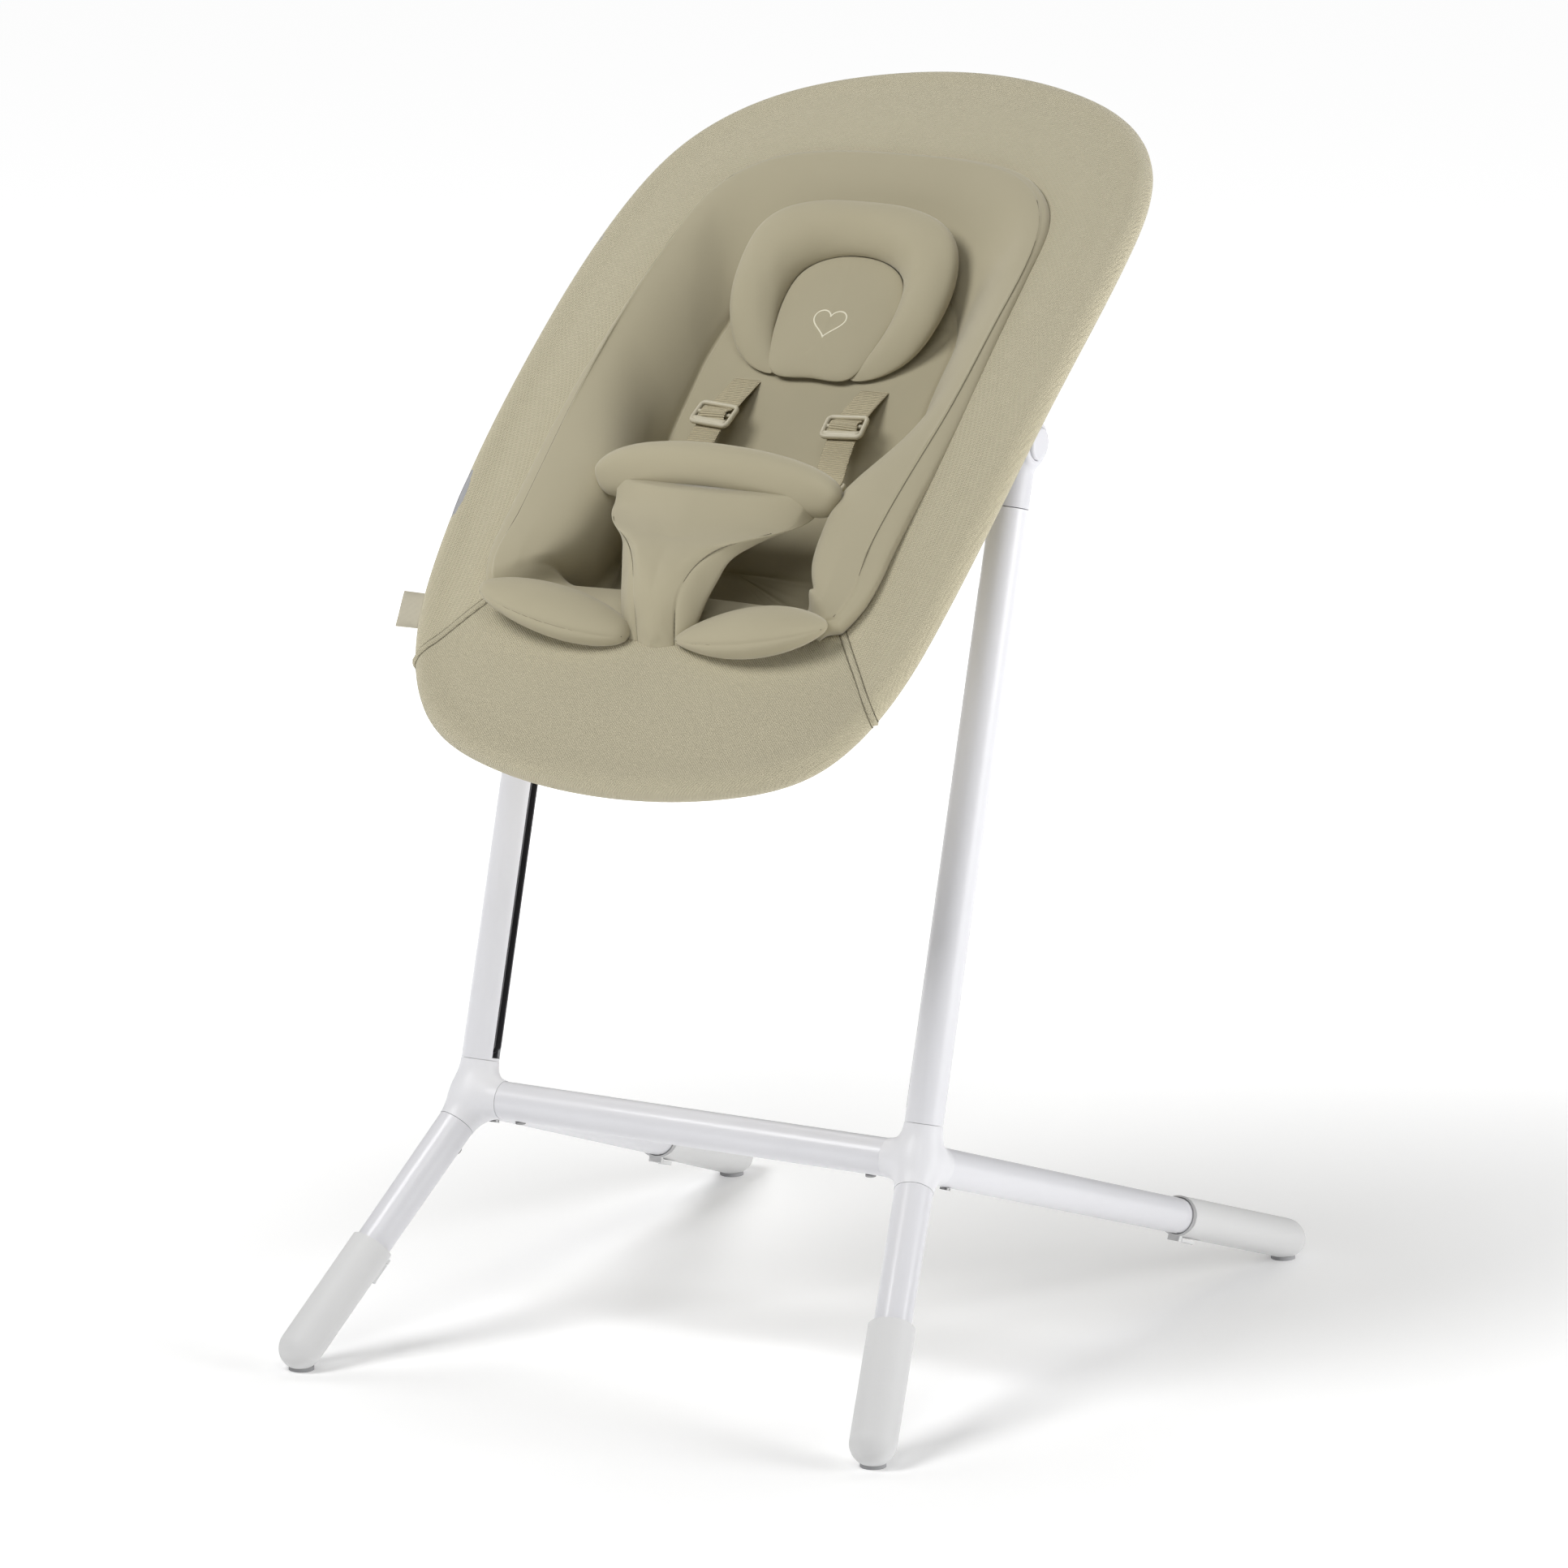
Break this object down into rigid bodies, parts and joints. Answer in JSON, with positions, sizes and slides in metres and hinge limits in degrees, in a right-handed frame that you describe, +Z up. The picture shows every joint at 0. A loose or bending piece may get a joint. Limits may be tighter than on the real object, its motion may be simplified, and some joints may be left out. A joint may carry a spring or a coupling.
{
  "type": "bouncer seat",
  "caption": "Reclining newborn bouncer seat with padded inlay, harness and head pillow, lifted off a tall splayed four-leg tube frame.",
  "frame": {"origin": "on the floor, midway between the four feet", "axes": "+Z up, -Y towards the side the baby faces, +X to the right seen from the front"},
  "size_m": [0.5584, 0.7051, 0.9649],
  "materials": {
    "white_enamel": "satin powder coat",
    "white_casting": "satin powder coat on a casting",
    "dark_liner": "matt",
    "bolt_steel": "zinc plated",
    "grey_nylon": "matt moulded",
    "foot_plastic": "matt moulded",
    "foot_rubber": "matt",
    "white_plastic": "satin moulded",
    "grey_frame": "satin",
    "woven_fabric": "fine basket weave",
    "lining_fabric": "plain weave",
    "soft_jersey": "smooth brushed jersey",
    "webbing": "ribbed webbing",
    "beige_plastic": "satin moulded",
    "label_fabric": "satin woven tape"
  },
  "bodies": {
    "base": {"crossbar": "white_enamel", "left_leg_node": "white_casting", "right_leg_node": "white_casting", "left_post": "white_enamel", "right_post": "white_enamel", "left_post_channel": "dark_liner", "right_post_channel": "dark_liner", "left_front_leg": "white_enamel", "left_rear_leg": "white_enamel", "right_front_leg": "white_enamel", "right_rear_leg": "white_enamel", "leg_bolts": "bolt_steel", "leg_end_bushes": "grey_nylon"},
    "seat_carrier": {"left_adapter": "white_plastic", "right_adapter": "white_plastic", "left_pivot_pin": "bolt_steel", "right_pivot_pin": "bolt_steel", "left_button_spring": "bolt_steel", "right_button_spring": "bolt_steel"},
    "seat": {"upper_bow": "grey_frame", "lower_bow": "grey_frame", "cross_strut": "grey_frame", "seat_cover": "woven_fabric", "front_panel": "woven_fabric", "seat_sling": "lining_fabric", "body_inlay": "soft_jersey", "head_pillow": "soft_jersey", "head_pad": "soft_jersey", "label_tab": "label_fabric", "left_bracket": "grey_frame", "right_bracket": "grey_frame", "left_seat_ratchet": "grey_nylon", "right_seat_ratchet": "grey_nylon", "left_leg_bolster": "soft_jersey", "right_leg_bolster": "soft_jersey", "left_shoulder_strap": "webbing", "right_shoulder_strap": "webbing", "left_strap_adjuster": "beige_plastic", "right_strap_adjuster": "beige_plastic", "left_strap_clip": "beige_plastic", "right_strap_clip": "beige_plastic"},
    "harness_front": {"crotch_pad": "soft_jersey", "lap_bumper": "soft_jersey", "harness_tongue": "beige_plastic"},
    "left_hub_button": {"left_recline_button": "white_plastic", "left_lock_gear": "grey_nylon"},
    "right_hub_button": {"right_recline_button": "white_plastic", "right_lock_gear": "grey_nylon"},
    "left_front_foot": {"left_front_foot_sleeve": "foot_plastic", "left_front_foot_pad": "foot_rubber"},
    "left_front_foot_latch": {"left_front_foot_latch": "foot_plastic"},
    "left_rear_foot": {"left_rear_foot_sleeve": "foot_plastic", "left_rear_foot_pad": "foot_rubber"},
    "left_rear_foot_latch": {"left_rear_foot_latch": "foot_plastic"},
    "right_front_foot": {"right_front_foot_sleeve": "foot_plastic", "right_front_foot_pad": "foot_rubber"},
    "right_front_foot_latch": {"right_front_foot_latch": "foot_plastic"},
    "right_rear_foot": {"right_rear_foot_sleeve": "foot_plastic", "right_rear_foot_pad": "foot_rubber"},
    "right_rear_foot_latch": {"right_rear_foot_latch": "foot_plastic"}
  },
  "joints": [
    {"name": "seat_lift_off", "type": "slide", "parent": "base", "child": "seat_carrier", "axis": [0, 0.275, 0.9615], "range_m": [0, 0.08]},
    {"name": "recline", "type": "hinge", "parent": "seat_carrier", "child": "seat", "pos_m": [0, -0.014, 0.724], "axis": [-1, 0, 0], "range_deg": [0, 24]},
    {"name": "harness_opens", "type": "hinge", "parent": "seat", "child": "harness_front", "pos_m": [0, -0.225, 0.577], "axis": [1, 0, 0], "range_deg": [0, 90]},
    {"name": "left_button_press", "type": "slide", "parent": "seat_carrier", "child": "left_hub_button", "axis": [1, 0, 0], "range_m": [0, 0.003], "stiffness_N_per_m": 2000, "springref_m": -0.001, "deforming": ["left_button_spring"]},
    {"name": "right_button_press", "type": "slide", "parent": "seat_carrier", "child": "right_hub_button", "axis": [-1, 0, 0], "range_m": [0, 0.003], "stiffness_N_per_m": 2000, "springref_m": -0.001, "deforming": ["right_button_spring"]},
    {"name": "left_front_foot_slide", "type": "slide", "parent": "base", "child": "left_front_foot", "axis": [-0.2261, -0.6821, -0.6955], "range_m": [0, 0.04]},
    {"name": "left_front_foot_latch_lift", "type": "hinge", "parent": "left_front_foot", "child": "left_front_foot_latch", "pos_m": [-0.23012, -0.25786, 0.07033], "axis": [0.9492, -0.3147, 0], "range_deg": [0, 15], "stiffness_Nm_per_rad": 0.05, "springref_deg": -2.86},
    {"name": "left_rear_foot_slide", "type": "slide", "parent": "base", "child": "left_rear_foot", "axis": [-0.114, 0.9398, -0.322], "range_m": [0, 0.04]},
    {"name": "left_rear_foot_latch_lift", "type": "hinge", "parent": "left_rear_foot", "child": "left_rear_foot_latch", "pos_m": [-0.24227, 0.18147, 0.04985], "axis": [-0.9927, -0.1204, 0], "range_deg": [0, 15], "stiffness_Nm_per_rad": 0.05, "springref_deg": -2.86},
    {"name": "right_front_foot_slide", "type": "slide", "parent": "base", "child": "right_front_foot", "axis": [0.2261, -0.6821, -0.6955], "range_m": [0, 0.04]},
    {"name": "right_front_foot_latch_lift", "type": "hinge", "parent": "right_front_foot", "child": "right_front_foot_latch", "pos_m": [0.23012, -0.25786, 0.07033], "axis": [0.9492, 0.3147, 0], "range_deg": [0, 15], "stiffness_Nm_per_rad": 0.05, "springref_deg": -2.86},
    {"name": "right_rear_foot_slide", "type": "slide", "parent": "base", "child": "right_rear_foot", "axis": [0.114, 0.9398, -0.322], "range_m": [0, 0.04]},
    {"name": "right_rear_foot_latch_lift", "type": "hinge", "parent": "right_rear_foot", "child": "right_rear_foot_latch", "pos_m": [0.24227, 0.18147, 0.04985], "axis": [-0.9927, 0.1204, 0], "range_deg": [0, 15], "stiffness_Nm_per_rad": 0.05, "springref_deg": -2.86}
  ]
}
